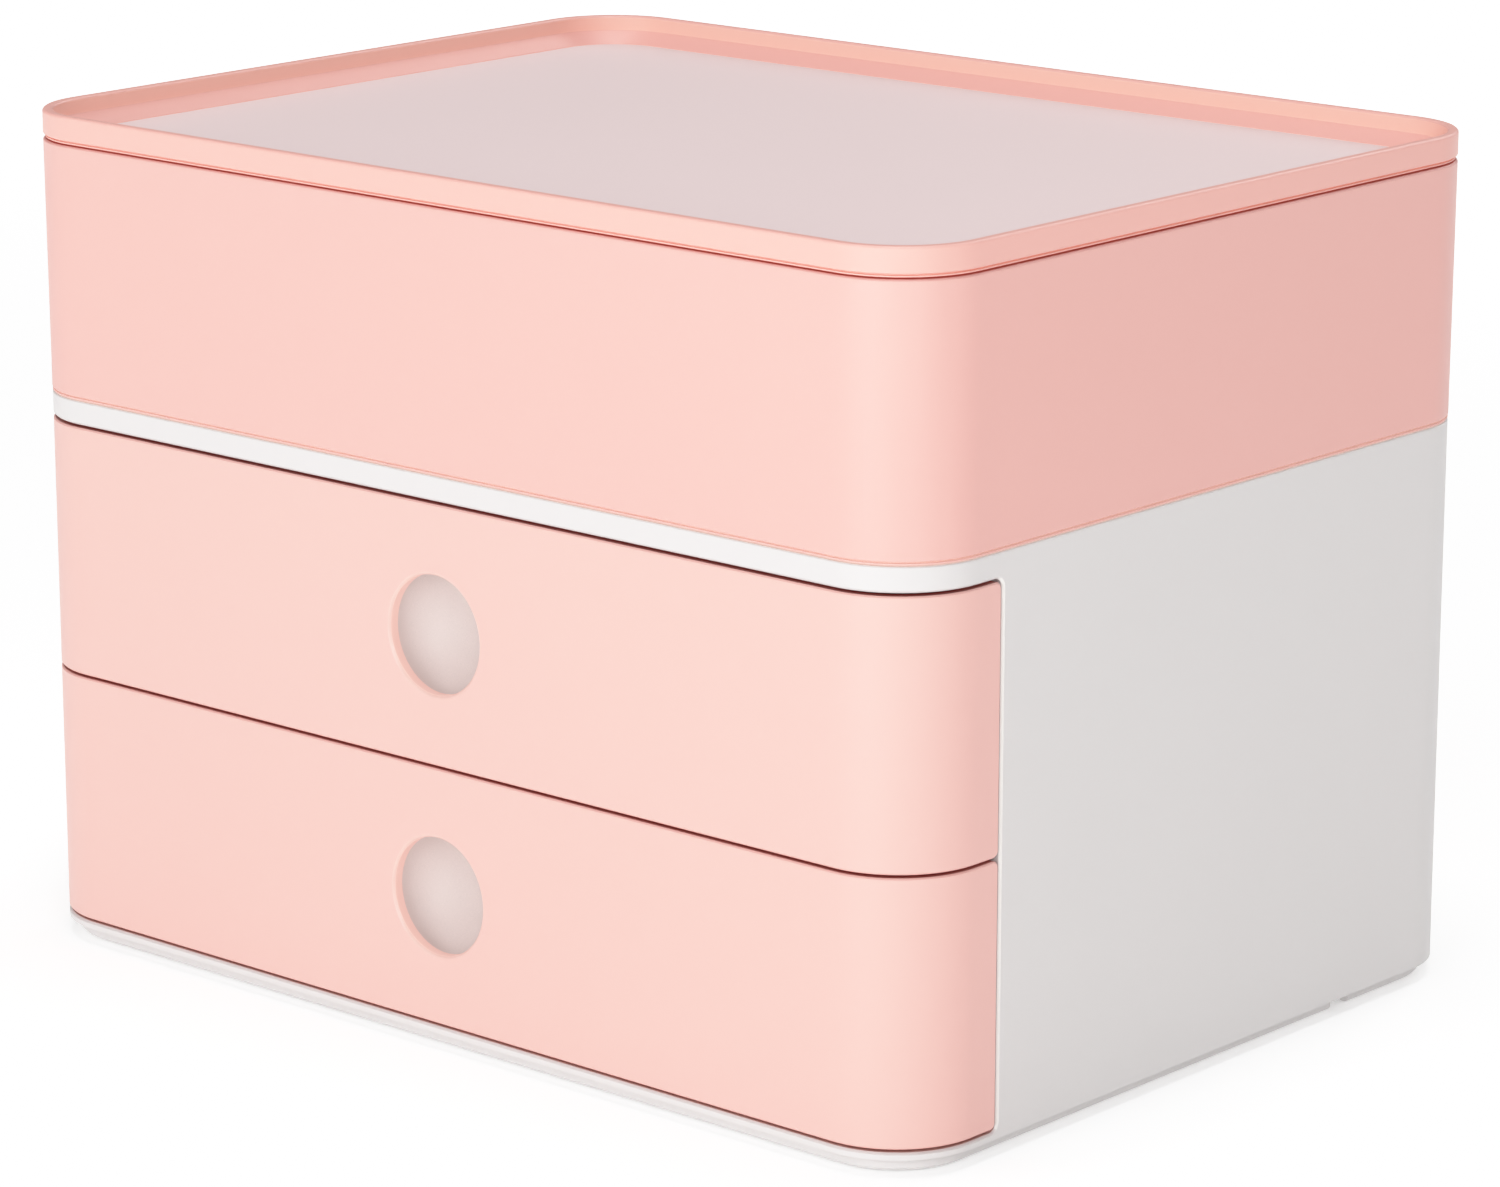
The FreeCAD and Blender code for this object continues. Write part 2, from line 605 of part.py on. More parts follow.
def draw_wrap(sketch, half, front, end, radius, wall):
    """The plan of a drawer front: a band that turns both corners and runs back to end."""
    x, y, e, r, w = half[1], front[1], end[1], radius[1], wall[1]
    edges = [
        line(sketch, r - x, y, x - r, y),
        arc(sketch, x - r, y + r, r, 3, 4),
        line(sketch, x, y + r, x, e),
        line(sketch, x, e, x - w, e),
        line(sketch, x - w, e, x - w, y + r),
        arc(sketch, x - r, y + r, r - w, 3, 4),
        line(sketch, x - r, y + w, r - x, y + w),
        arc(sketch, r - x, y + r, r - w, 2, 3),
        line(sketch, w - x, y + r, w - x, e),
        line(sketch, w - x, e, -x, e),
        line(sketch, -x, e, -x, y + r),
        arc(sketch, r - x, y + r, r, 2, 3),
    ]
    # a place is an edge and which of its ends
    for a, a_end, b, b_end in ((0, 2, 1, 1), (1, 2, 2, 1), (4, 2, 5, 2), (5, 1, 6, 1),
                               (6, 2, 7, 2), (7, 1, 8, 1), (10, 2, 11, 1), (11, 2, 0, 1)):
        join(sketch, "Tangent", edges[a], a_end, edges[b], b_end)
    for a, b in ((2, 3), (3, 4), (8, 9), (9, 10)):
        join(sketch, "Coincident", edges[a], 2, edges[b], 1)
    for a, b in ((1, 5), (7, 11)):
        join(sketch, "Coincident", edges[a], 3, edges[b], 3)
    mark(sketch, "Horizontal", edges[0], edges[3], edges[6], edges[9])
    mark(sketch, "Vertical", edges[2], edges[4], edges[8], edges[10])
    sketch.addConstraint(Sketcher.Constraint("Equal", edges[1], edges[11]))
    fix(sketch, "Radius", (edges[1],), radius)
    fix(sketch, "DistanceX", (-1, 1, edges[2], 1), half)
    fix(sketch, "DistanceX", (edges[10], 1, -1, 1), half)
    fix(sketch, "DistanceY", (-1, 1, edges[0], 1), front)
    fix(sketch, "DistanceY", (-1, 1, edges[2], 2), end)
    fix(sketch, "DistanceY", (-1, 1, edges[8], 2), end)
    fix(sketch, "DistanceX", (edges[3], 2, edges[3], 1), wall)


def draw_hook(sketch, root, tip, face, nose_end, barb):
    """Side view of a hook: a strip from root to tip, its barb behind the tray wall."""
    x0, x1, x2 = amount("tray_front")[1], face[1], nose_end[1]
    y0, y1, y2 = root[1], tip[1], barb[1]
    corners = [(x0, y0), (x2, y0), (x1, y2), (x1, y1), (x0, y1)]
    edges = []
    for index, (x, y) in enumerate(corners):
        after = corners[(index + 1) % 5]
        edges.append(line(sketch, x, y, after[0], after[1]))
    for index, edge in enumerate(edges):
        join(sketch, "Coincident", edge, 2, edges[(index + 1) % 5], 1)
    mark(sketch, "Horizontal", edges[0], edges[3])
    mark(sketch, "Vertical", edges[2], edges[4])
    fix(sketch, "DistanceX", (-1, 1, edges[0], 1), amount("tray_front"))
    fix(sketch, "DistanceX", (-1, 1, edges[0], 2), nose_end)
    fix(sketch, "DistanceX", (-1, 1, edges[2], 1), face)
    fix(sketch, "DistanceY", (-1, 1, edges[0], 1), root)
    fix(sketch, "DistanceY", (-1, 1, edges[3], 1), tip)
    fix(sketch, "DistanceY", (-1, 1, edges[2], 1), barb)


def make_front(name, label, lift):
    """A drawer front, drawn in the same place as its tray."""
    body = new_body(name, label)
    plan = new_sketch(body, name + "Plan", "XY_Plane", amount("front_foot"))
    draw_wrap(plan, amount("housing_half"), amount("housing_front"), amount("return_end"),
              amount("corner_radius"), amount("front_wall"))
    pad(body, name + "Band", plan, amount("front_height"))

    def return_corner(edge):
        box = edge.BoundBox
        across = box.XLength > 1 and near(box.YLength, 0) and near(box.ZLength, 0)
        return across and near(box.YMin, size("return_end"))

    fillet(body, name + "ReturnRound", amount("return_round"), return_corner)

    def outer_edge(edge):
        box = edge.BoundBox
        placed = near(box.YMin, size("housing_front")) and near(box.YMax, size("housing_front"))
        return placed and near(box.ZLength, 0)

    bevel(body, name + "EdgeBevel", amount("front_bevel"), outer_edge)

    hole = new_sketch(body, name + "Hole", "XZ_Plane", amount("-housing_front"))
    radius = ("Sizes.finger_hole / 2", size("finger_hole") / 2)
    draw_circle(hole, ("0", 0.0), amount("hole_height"), radius)
    pocket(body, name + "HoleCut", hole, amount("front_wall"))

    def hole_edge(edge):
        box = edge.BoundBox
        placed = near(box.YMin, size("housing_front")) and near(box.YMax, size("housing_front"))
        return placed and near(box.XLength, size("finger_hole"))

    bevel(body, name + "HoleBevel", amount("hole_bevel"), hole_edge)

    # hooks that reach through the windows of the tray
    face = amount("tray_front", "tray_wall", "clip_gap")
    nose_end = amount("tray_front", "tray_wall", "clip_gap", "clip_nose")
    for side, word in (("", "Right"), ("-", "Left")):
        hooks = new_sketch(body, name + "Hooks" + word, "YZ_Plane", amount(side + "clip_side"))
        draw_hook(hooks, amount("lower_clip", "clip_thick"), amount("lower_clip"), face,
                  nose_end, amount("lower_clip", "-clip_barb"))
        draw_hook(hooks, amount("upper_clip", "-clip_thick"), amount("upper_clip"), face,
                  nose_end, amount("upper_clip", "clip_barb"))
        hook = body.newObject("PartDesign::Pad", name + "HookPad" + word)
        hook.Profile = hooks
        hook.Midplane = True
        hook.setExpression("Length", "Sizes.clip_width")
        checked(body, hook, True)
    body.setExpression("Placement.Base.z", lift)
    return body


# ---- utility bin -----------------------------------------------------------

def make_bin():
    body = new_body("UtilityBox", "utility_box")
    foot = shell_outline(body, "BinFootOutline", amount("bin_foot"), "bin_draft")
    rim = shell_outline(body, "BinRimOutline", amount("bin_top"))
    block = body.newObject("PartDesign::AdditiveLoft", "BinBlock")
    block.Profile = foot
    block.Sections = [rim]
    block.Ruled = True
    checked(body, block, True)
    hollow = shell_outline(body, "BinHollow", amount("bin_top"), "bin_draft", "bin_wall")
    pocket(body, "BinInside", hollow, amount("bin_height", "-bin_floor"))
    inner = size("bin_inner_half")
    deep = size("half_depth") - size("bin_draft") - size("bin_wall")
    bevel(body, "BinSlope", amount("bin_slope"),
          level_within(size("bin_foot") + size("bin_floor"), inner, deep))
    bevel(body, "BinFootBevel", amount("bin_foot_bevel"), level_at(size("bin_foot")))
    bevel(body, "BinRimBevel", amount("bin_rim_bevel"), level_at(size("bin_top")))

    # neck and lip over the stacking rim, and a rib inside it
    nest = ("housing_inset", "crown_rim", "nest_gap")
    neck = new_sketch(body, "BinNeck", "XY_Plane", amount("bin_foot", "bin_foot_bevel"))
    lip = new_sketch(body, "BinLip", "XY_Plane", amount("bin_lip"))
    rib = new_sketch(body, "BinRib", "XY_Plane", amount("bin_foot"))
    for sketch, outer in ((neck, ("neck_inset",)), (lip, ("neck_lip_inset",)), (rib, nest)):
        for insets in (outer, nest + ("skirt_wall",)):
            inward = ["-" + inset for inset in insets]
            draw_outline(sketch, amount("half_width", *inward), amount("front_plane", *insets),
                         amount("half_depth", *inward), amount("corner_radius", *inward))
    pad(body, "BinNeckRing", neck, amount("bin_foot", "bin_foot_bevel", "-bin_seat"), down=True)
    pad(body, "BinLipRing", lip, amount("neck_lip_height"), down=True)
    pad(body, "BinNestRib", rib, amount("bin_foot", "-bin_nest"), down=True)
    return body


# ---- lid -------------------------------------------------------------------

def make_lid():
    body = new_body("LidTray", "lid_tray")
    wall = shell_outline(body, "LidOutline", amount("lid_foot"))
    pad(body, "LidBlock", wall, amount("lid_wall_height"))
    step = shell_outline(body, "LidStepOutline", amount("lid_foot"), "lid_step_inset")
    pad(body, "LidStep", step, amount("lid_foot", "-lid_step"), down=True)
    lip = shell_outline(body, "LidLipOutline", amount("lid_step"), "lid_lip_inset")
    pad(body, "LidLip", lip, amount("lid_lip_height"), down=True)
    insert = shell_outline(body, "LidInsertOutline", amount("lid_seat"), "bin_draft",
                           "bin_wall", "lid_fit")
    pad(body, "LidInsert", insert, amount("lid_seat", "-lid_underside"), down=True)

    # raised rim, its sloping foot and the seat of the panel
    rim = shell_outline(body, "RimHollow", amount("lid_top"), "lid_rim")
    pocket(body, "RimCut", rim, amount("lid_rim_depth"))
    crease = shell_outline(body, "CoveTop", amount("lid_crease"), "lid_rim")
    seat = shell_outline(body, "CoveFoot", amount("panel_top"), "lid_rim", "cove_width")
    cove = body.newObject("PartDesign::SubtractiveLoft", "CoveCut")
    cove.Profile = crease
    cove.Sections = [seat]
    cove.Ruled = True
    checked(body, cove, False)
    panel = shell_outline(body, "PanelSeat", amount("panel_top"), "lid_rim", "cove_width")
    pocket(body, "PanelSeatCut", panel, amount("panel_thick"))
    bevel(body, "RimBevel", amount("lid_bevel"), level_at(size("lid_top")))
    return body


def make_lid_panel():
    body = new_body("LidPanel", "lid_panel")
    outline = shell_outline(body, "PanelOutline", amount("panel_foot"), "lid_rim", "cove_width",
                            "panel_gap")
    pad(body, "PanelSheet", outline, amount("panel_thick"))
    bevel(body, "PanelBevel", amount("panel_bevel"), level_at(size("panel_top")))
    return body


# ---- the whole box ---------------------------------------------------------

fill_sheet()
lower = "Sizes.tray_foot"
upper = "Sizes.tray_foot + Sizes.drawer_pitch"
bodies = [
    make_housing(),
    make_foot("foot_front_left", "-foot_x", "-foot_y"),
    make_foot("foot_front_right", "foot_x", "-foot_y"),
    make_foot("foot_back_left", "-foot_x", "foot_y"),
    make_foot("foot_back_right", "foot_x", "foot_y"),
    make_tray("LowerTray", "lower_drawer_tray", lower),
    make_front("LowerFront", "lower_drawer_front", lower),
    make_tray("UpperTray", "upper_drawer_tray", upper),
    make_front("UpperFront", "upper_drawer_front", upper),
    make_bin(),
    make_lid(),
    make_lid_panel(),
]
doc.recompute()

for item in doc.Objects:
    if "Invalid" in item.State or "Error" in item.State:
        raise RuntimeError("%s failed" % item.Name)
os.makedirs("parts", exist_ok=True)
for body in bodies:
    shape = body.Shape
    if shape.isNull() or not shape.isValid() or len(shape.Solids) != 1:
        raise RuntimeError("%s is not one sound solid" % body.Label)
    shape.exportStep("parts/%s.step" % body.Label)
    box = shape.BoundBox
    print("%-20s %9.1f mm3  z %.2f to %.2f" % (body.Label, shape.Volume, box.ZMin, box.ZMax))
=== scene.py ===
import bpy
import math
from mathutils import Matrix, Vector


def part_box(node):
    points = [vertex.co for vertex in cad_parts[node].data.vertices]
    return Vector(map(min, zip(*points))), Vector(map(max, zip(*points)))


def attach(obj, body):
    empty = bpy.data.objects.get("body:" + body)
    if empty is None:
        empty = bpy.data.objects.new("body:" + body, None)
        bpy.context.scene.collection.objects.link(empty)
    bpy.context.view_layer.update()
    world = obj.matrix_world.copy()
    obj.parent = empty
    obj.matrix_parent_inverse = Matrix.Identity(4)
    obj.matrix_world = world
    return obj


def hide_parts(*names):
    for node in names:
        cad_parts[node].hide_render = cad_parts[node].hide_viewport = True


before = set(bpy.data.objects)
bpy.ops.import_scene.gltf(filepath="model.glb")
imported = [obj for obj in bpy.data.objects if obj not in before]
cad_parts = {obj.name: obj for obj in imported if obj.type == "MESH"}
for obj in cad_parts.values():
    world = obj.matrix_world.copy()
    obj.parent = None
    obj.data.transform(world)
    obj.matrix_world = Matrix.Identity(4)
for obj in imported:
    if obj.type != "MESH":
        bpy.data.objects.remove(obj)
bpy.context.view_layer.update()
print("frame loaded:", len(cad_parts), "nodes")

# the sockets of a colour Mix node by number, since several of them share a name
mixFactor, mixFirst, mixSecond, mixResult = 0, 6, 7, 2


def addNode(material, kind, spot, **values):
    # a shader node at a spot in the node editor, with its plain settings
    node = material.node_tree.nodes.new(kind)
    node.location = spot
    for key, value in values.items():
        if key in node.inputs:
            node.inputs[key].default_value = value
        else:
            setattr(node, key, value)
    return node


def wire(material, fromNode, fromSocket, toNode, toSocket):
    material.node_tree.links.new(fromNode.outputs[fromSocket], toNode.inputs[toSocket])


def addColour(material, look, place, shader):
    # one colour with a faint drift
    drift = addNode(material, "ShaderNodeTexNoise", (-600, 200), Scale=look["driftScale"],
                    Detail=look["driftDetail"])
    tint = addNode(material, "ShaderNodeMix", (200, 200), data_type="RGBA")
    deeper = [level * look["driftDepth"] for level in look["colour"][:3]]
    tint.inputs[mixFirst].default_value = look["colour"]
    tint.inputs[mixSecond].default_value = deeper + [1.0]
    wire(material, place, "Object", drift, "Vector")
    wire(material, drift, "Fac", tint, mixFactor)
    wire(material, tint, mixResult, shader, "Base Color")
    return tint


def addPolish(material, look, place, shader):
    # a roughness that wanders a little
    haze = addNode(material, "ShaderNodeTexNoise", (-600, -100), Scale=look["hazeScale"],
                   Detail=look["hazeDetail"])
    polish = addNode(material, "ShaderNodeMapRange", (200, -100))
    polish.inputs["To Min"].default_value = look["roughness"] - look["roughnessSpread"]
    polish.inputs["To Max"].default_value = look["roughness"] + look["roughnessSpread"]
    wire(material, place, "Object", haze, "Vector")
    wire(material, haze, "Fac", polish, "Value")
    wire(material, polish, "Result", shader, "Roughness")


def addGrain(material, look, place, shader):
    # the fine grain of an eroded mould
    grain = addNode(material, "ShaderNodeTexNoise", (-600, -400), Scale=look["grainScale"],
                    Detail=look["grainDetail"])
    bump = addNode(material, "ShaderNodeBump", (200, -400))
    bump.inputs["Strength"].default_value = look["grainStrength"]
    bump.inputs["Distance"].default_value = look["grainDepth"]
    wire(material, place, "Object", grain, "Vector")
    wire(material, grain, "Fac", bump, "Height")
    wire(material, bump, "Normal", shader, "Normal")


def addPaintedLightMask(material, look):
    # the mask for the painted shade and painted glow: 0 in the open, and rising as a slot gets
    # narrower
    cover = addNode(material, "ShaderNodeAmbientOcclusion", (-600, -700),
                    samples=look["slotSamples"])
    cover.inputs["Distance"].default_value = look["slotReach"]
    depth = addNode(material, "ShaderNodeMapRange", (-300, -700))
    depth.inputs["From Min"].default_value = look["slotOpen"]
    depth.inputs["From Max"].default_value = 0.0
    wire(material, cover, "AO", depth, "Value")
    return depth


def addPaintedShade(material, look, depth, tint, shader):
    # painted shade: the walls of a narrow slot are darkened toward a shade colour
    amount = addNode(material, "ShaderNodeMath", (-50, 450), operation="MULTIPLY")
    amount.inputs[1].default_value = look["paintedShade"]
    shaded = addNode(material, "ShaderNodeMix", (400, 300), data_type="RGBA")
    shaded.inputs[mixSecond].default_value = look["paintedShadeColour"]
    wire(material, depth, "Result", amount, 0)
    wire(material, amount, "Value", shaded, mixFactor)
    wire(material, tint, mixResult, shaded, mixFirst)
    wire(material, shaded, mixResult, shader, "Base Color")


def addPaintedGlow(material, look, depth, shader):
    # a painted glow, warm and strongest in narrow slots: emission in place of light let through
    # the plastic
    shader.inputs["Emission Color"].default_value = look["paintedGlowColour"]
    rise = addNode(material, "ShaderNodeMath", (-50, -700), operation="POWER")
    rise.inputs[1].default_value = look["paintedGlowPower"]
    warmth = addNode(material, "ShaderNodeMath", (200, -700), operation="MULTIPLY")
    warmth.inputs[1].default_value = look["paintedGlow"]
    wire(material, depth, "Result", rise, 0)
    wire(material, rise, "Value", warmth, 0)
    wire(material, warmth, "Value", shader, "Emission Strength")


def mouldedPlastic(name, look):
    material = bpy.data.materials.new(name)
    material.use_nodes = True
    material.node_tree.nodes.clear()
    output = addNode(material, "ShaderNodeOutputMaterial", (900, 0))
    shader = addNode(material, "ShaderNodeBsdfPrincipled", (600, 0))
    shader.inputs["IOR"].default_value = look["ior"]
    shader.inputs["Specular IOR Level"].default_value = look["specular"]
    place = addNode(material, "ShaderNodeTexCoord", (-900, 0))
    tint = addColour(material, look, place, shader)
    addPolish(material, look, place, shader)
    addGrain(material, look, place, shader)
    # painted shade and painted glow in narrow slots, where the look asks for them
    if look["paintedGlow"] > 0 or look["paintedShade"] > 0:
        depth = addPaintedLightMask(material, look)
        if look["paintedShade"] > 0:
            addPaintedShade(material, look, depth, tint, shader)
        if look["paintedGlow"] > 0:
            addPaintedGlow(material, look, depth, shader)
    wire(material, shader, "BSDF", output, "Surface")
    return material


pinkPlastic = {
    "colour": (0.703, 0.374, 0.338, 1.0),
    "ior": 1.5,
    "specular": 0.5,
    "driftScale": 9.0,
    "driftDetail": 2.0,
    "driftDepth": 0.975,   # how deep the colour gets where it drifts
    "roughness": 0.42,
    "roughnessSpread": 0.03,
    "hazeScale": 30.0,
    "hazeDetail": 3.0,
    "grainScale": 1800.0,
    "grainDetail": 4.0,
    "grainStrength": 0.15,
    "grainDepth": 0.00002,
    "slotReach": 0.003,    # how far off another surface still makes a slot
    "slotSamples": 8,
    "slotOpen": 0.9,       # the openness from which a spot is no slot any more
    "paintedGlow": 0.2,       # painted glow where a slot is narrow
    "paintedGlowColour": (1.0, 0.28, 0.2, 1.0),
    "paintedGlowPower": 2.2,      # how fast that painted glow rises as the slot narrows
    "paintedShade": 0.0,      # how far a narrow slot's wall is darkened toward the painted shade colour below
    "paintedShadeColour": (0.38, 0.05, 0.03, 1.0),
}
# painted shade and a faint painted red glow in the slot between the bin's rim and the lid
binRimPaintedShadePlastic = dict(pinkPlastic, paintedGlow=0.14, paintedGlowColour=(1.0, 0.09, 0.05, 1.0),
                     paintedShade=0.9)
# a pale painted glow in the slot at the bin's foot
binFootPaintedGlowPlastic = dict(pinkPlastic, paintedGlow=0.40, paintedGlowColour=(0.85, 0.80, 0.66, 1.0))
# the fronts' pink, with a faint painted red glow in their slots
frontPlastic = dict(pinkPlastic, colour=(0.708, 0.405, 0.366, 1.0), paintedGlow=0.08,
                    paintedGlowColour=(1.0, 0.02, 0.01, 1.0))
# painted shade, nearly black, on the top faces of the fronts in the slots above them
frontTopPaintedShadePlastic = dict(frontPlastic, paintedGlow=0.06, paintedShade=1.0,
                       paintedShadeColour=(0.16, 0.02, 0.013, 1.0))
# painted light on the wall of the finger hole: a lighter colour and a painted glow all round it
holeWallPaintedLightPlastic = dict(frontPlastic, colour=(0.760, 0.460, 0.410, 1.0), paintedGlow=0.60,
                       paintedGlowColour=(1.0, 0.72, 0.64, 1.0), slotOpen=1.3, paintedGlowPower=1.0)
# the lip of the finger hole: a lighter colour as a painted highlight, and a lower roughness for
# a real one
holeLipPaintedHighlightPlastic = dict(frontPlastic, colour=(0.725, 0.450, 0.405, 1.0), roughness=0.3)
# the lid's pink, with a painted orange glow that reaches 8 mm into the rim's hollow
lidPlastic = dict(pinkPlastic, colour=(0.742, 0.386, 0.341, 1.0), paintedGlow=0.28,
                  paintedGlowColour=(1.0, 0.35, 0.2, 1.0), slotReach=0.008, paintedGlowPower=1.2)
# a lighter, more saturated copy of the lid's pink on the inner walls of the rim: painted bounce
# light
lidInnerPaintedBouncePlastic = dict(lidPlastic, colour=(0.860, 0.472, 0.395, 1.0))
# a darker copy of the lid's pink on the ledge round the panel: painted shade
lidLedgePaintedShadePlastic = dict(lidPlastic, colour=(0.715, 0.362, 0.322, 1.0))
whitePlastic = dict(pinkPlastic, colour=(0.592, 0.569, 0.564, 1.0), paintedGlow=0.0)
# a lighter copy of the white on the front edges of the side walls: a painted highlight, with a
# lower roughness for a real one
bayEdgePaintedHighlightPlastic = dict(whitePlastic, colour=(0.690, 0.665, 0.640, 1.0), roughness=0.36)
# painted warm shade on the top of the skirt, in the slot under the lower front
skirtLedgePaintedShadePlastic = dict(whitePlastic, paintedShade=1.0, paintedShadeColour=(0.450, 0.200, 0.160, 1.0))
# a pale painted glow on the crown where the bin stands
crownSeatPaintedGlowPlastic = dict(whitePlastic, paintedGlow=0.3, paintedGlowColour=(1.0, 0.72, 0.64, 1.0))
trayPlastic = dict(whitePlastic, roughness=0.36)
# painted light in the finger cup: the tray's white made pinker for bounce off the pink front,
# and darker to offset a nearly even painted glow
cupPaintedLightPlastic = dict(whitePlastic, colour=(0.550, 0.490, 0.476, 1.0), roughness=0.6, paintedGlow=0.16,
                  paintedGlowColour=(1.0, 0.76, 0.70, 1.0), slotReach=0.012, paintedGlowPower=0.1)
panelPlastic = dict(pinkPlastic, colour=(0.720, 0.589, 0.588, 1.0), roughness=0.6)
footRubber = dict(pinkPlastic, colour=(0.440, 0.440, 0.430, 1.0), roughness=0.85, paintedGlow=0.0)

nodeLooks = {
    "housing": ("housingWhite", whitePlastic),
    "lower_drawer_tray": ("trayWhite", trayPlastic),
    "upper_drawer_tray": ("trayWhite", trayPlastic),
    "lower_drawer_front": ("frontPink", frontPlastic),
    "upper_drawer_front": ("frontPink", frontPlastic),
    "utility_box": ("boxPink", pinkPlastic),
    "lid_tray": ("lidPink", lidPlastic),
    "lid_panel": ("panelBlush", panelPlastic),
    "foot_front_left": ("footRubber", footRubber),
    "foot_front_right": ("footRubber", footRubber),
    "foot_back_left": ("footRubber", footRubber),
    "foot_back_right": ("footRubber", footRubber),
}
zoneLooks = {
    "bayEdgePaintedHighlight": bayEdgePaintedHighlightPlastic,
    "skirtLedgePaintedShade": skirtLedgePaintedShadePlastic,
    "crownSeatPaintedGlow": crownSeatPaintedGlowPlastic,
    "cup": cupPaintedLightPlastic,
    "frontTopPaintedShade": frontTopPaintedShadePlastic,
    "holeWallPaintedLight": holeWallPaintedLightPlastic,
    "holeLipPaintedHighlight": holeLipPaintedHighlightPlastic,
    "binRimPaintedShade": binRimPaintedShadePlastic,
    "binFootPaintedGlow": binFootPaintedGlowPlastic,
    "lidInnerPaintedBounce": lidInnerPaintedBouncePlastic,
    "lidLedgePaintedShade": lidLedgePaintedShadePlastic,
}
madeMaterials = {}
for nodeName, (materialName, look) in nodeLooks.items():
    if materialName not in madeMaterials:
        madeMaterials[materialName] = mouldedPlastic(materialName, look)
    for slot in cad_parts[nodeName].material_slots:
        slot.material = madeMaterials[materialName]
for materialName, look in zoneLooks.items():
    madeMaterials[materialName] = mouldedPlastic(materialName, look)
print("materials assigned:", len(madeMaterials))

skinSizes = {
    "weldWithin": 0.000002,
    "flatWithin": 0.5,     # degrees by which two faces may turn and still be one
    "sharpest": 30.0,      # degrees between two faces that make an edge
    "round": 0.00018,
    "steps": 2,
    "areaWeight": 100,     # the large faces lead the shading of the rounds
}


def mergedCopy(nodeName):
    # the node's own shape as one closed skin, its flat faces whole again
    bpy.ops.object.select_all(action="DESELECT")
    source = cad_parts[nodeName]
    source.select_set(True)
    bpy.context.view_layer.objects.active = source
    bpy.ops.object.duplicate()
    piece = bpy.context.object
    piece.name = nodeName + "_moulded"
    # the node's own marks stay with the node
    for key in list(piece.keys()):
        del piece[key]
    bpy.ops.object.mode_set(mode="EDIT")
    bpy.ops.mesh.customdata_custom_splitnormals_clear()
    bpy.ops.mesh.select_all(action="SELECT")
    bpy.ops.mesh.remove_doubles(threshold=skinSizes["weldWithin"])
    bpy.ops.mesh.dissolve_degenerate(threshold=skinSizes["weldWithin"])
    bpy.ops.mesh.dissolve_limited(angle_limit=math.radians(skinSizes["flatWithin"]))
    bpy.ops.object.mode_set(mode="OBJECT")
    return piece


def roundEdges(piece, test, width, steps):
    # bevels the sharp edges whose two ends pass the test
    bpy.ops.object.mode_set(mode="EDIT")
    bpy.ops.mesh.select_mode(type="EDGE")
    bpy.ops.mesh.select_all(action="DESELECT")
    bpy.ops.mesh.edges_select_sharp(sharpness=math.radians(skinSizes["sharpest"]))
    bpy.ops.object.mode_set(mode="OBJECT")
    points = piece.data.vertices
    for edge in piece.data.edges:
        if edge.select:
            edge.select = all(test(points[index].co) for index in edge.vertices)
    bpy.ops.object.mode_set(mode="EDIT")
    bpy.ops.mesh.bevel(offset=width, segments=steps, affect="EDGES", clamp_overlap=True)
    bpy.ops.mesh.select_all(action="DESELECT")
    bpy.ops.object.mode_set(mode="OBJECT")


def finishSkin(piece, body, nodeName):
    bpy.ops.object.shade_smooth_by_angle(angle=math.radians(skinSizes["sharpest"]),
                                         keep_sharp_edges=False)
    even = piece.modifiers.new("evenShading", "WEIGHTED_NORMAL")
    even.keep_sharp = True
    even.weight = skinSizes["areaWeight"]
    bpy.ops.object.modifier_apply(modifier=even.name)
    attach(piece, body)
    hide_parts(nodeName)
    print(piece.name, "made:", len(piece.data.polygons), "faces")


def mouldedShell(nodeName, body):
    piece = mergedCopy(nodeName)
    roundEdges(piece, lambda point: True, skinSizes["round"], skinSizes["steps"])
    finishSkin(piece, body, nodeName)
    return piece


def paintFaces(piece, materialName, test):
    # the faces that pass the test get a material of their own
    piece.data.materials.append(madeMaterials[materialName])
    index = len(piece.data.materials) - 1
    for polygon in piece.data.polygons:
        if test(polygon.center, polygon.normal):
            polygon.material_index = index


# the share of a face's direction that has to point up, or down, to count as that
upShare = 0.5

housingZones = {
    "edgeFrom": 0.129,     # the outer corner of each side wall, where the fronts end
    "edgeFront": -0.0700,
    "edgeBack": -0.0685,
    "edgeTurn": 0.2,       # how much a face of it looks forward and sideways
    "ledgeAbove": 0.0045,  # the top of the skirt, under the lower front
    "ledgeBelow": 0.0070,
    "seatAbove": 0.1245,   # what the bin stands on
}


def makeHousing(sizes):
    piece = mouldedShell("housing", "case")

    def atBayEdge(middle, facing):
        cornered = facing.y < -sizes["edgeTurn"] and abs(facing.x) > sizes["edgeTurn"]
        return cornered and abs(middle.x) > sizes["edgeFrom"] and (
            sizes["edgeFront"] < middle.y < sizes["edgeBack"])

    def onSkirt(middle, facing):
        return facing.z > upShare and sizes["ledgeAbove"] < middle.z < sizes["ledgeBelow"]

    def onCrown(middle, facing):
        return middle.z > sizes["seatAbove"]

    # painted highlight on the bay's edges
    paintFaces(piece, "bayEdgePaintedHighlight", atBayEdge)
    # painted shade on the skirt's top
    paintFaces(piece, "skirtLedgePaintedShade", onSkirt)
    # painted glow on the crown
    paintFaces(piece, "crownSeatPaintedGlow", onCrown)


makeHousing(housingZones)

trayCup = {
    "bodies": {"lower_drawer_tray": "lower_drawer", "upper_drawer_tray": "upper_drawer"},
    "radius": 0.0168,      # a little more than the cup, so its rim is in
    "depth": 0.0170,
    "backShare": 0.05,     # a face that looks further back than this is outside the cup
}


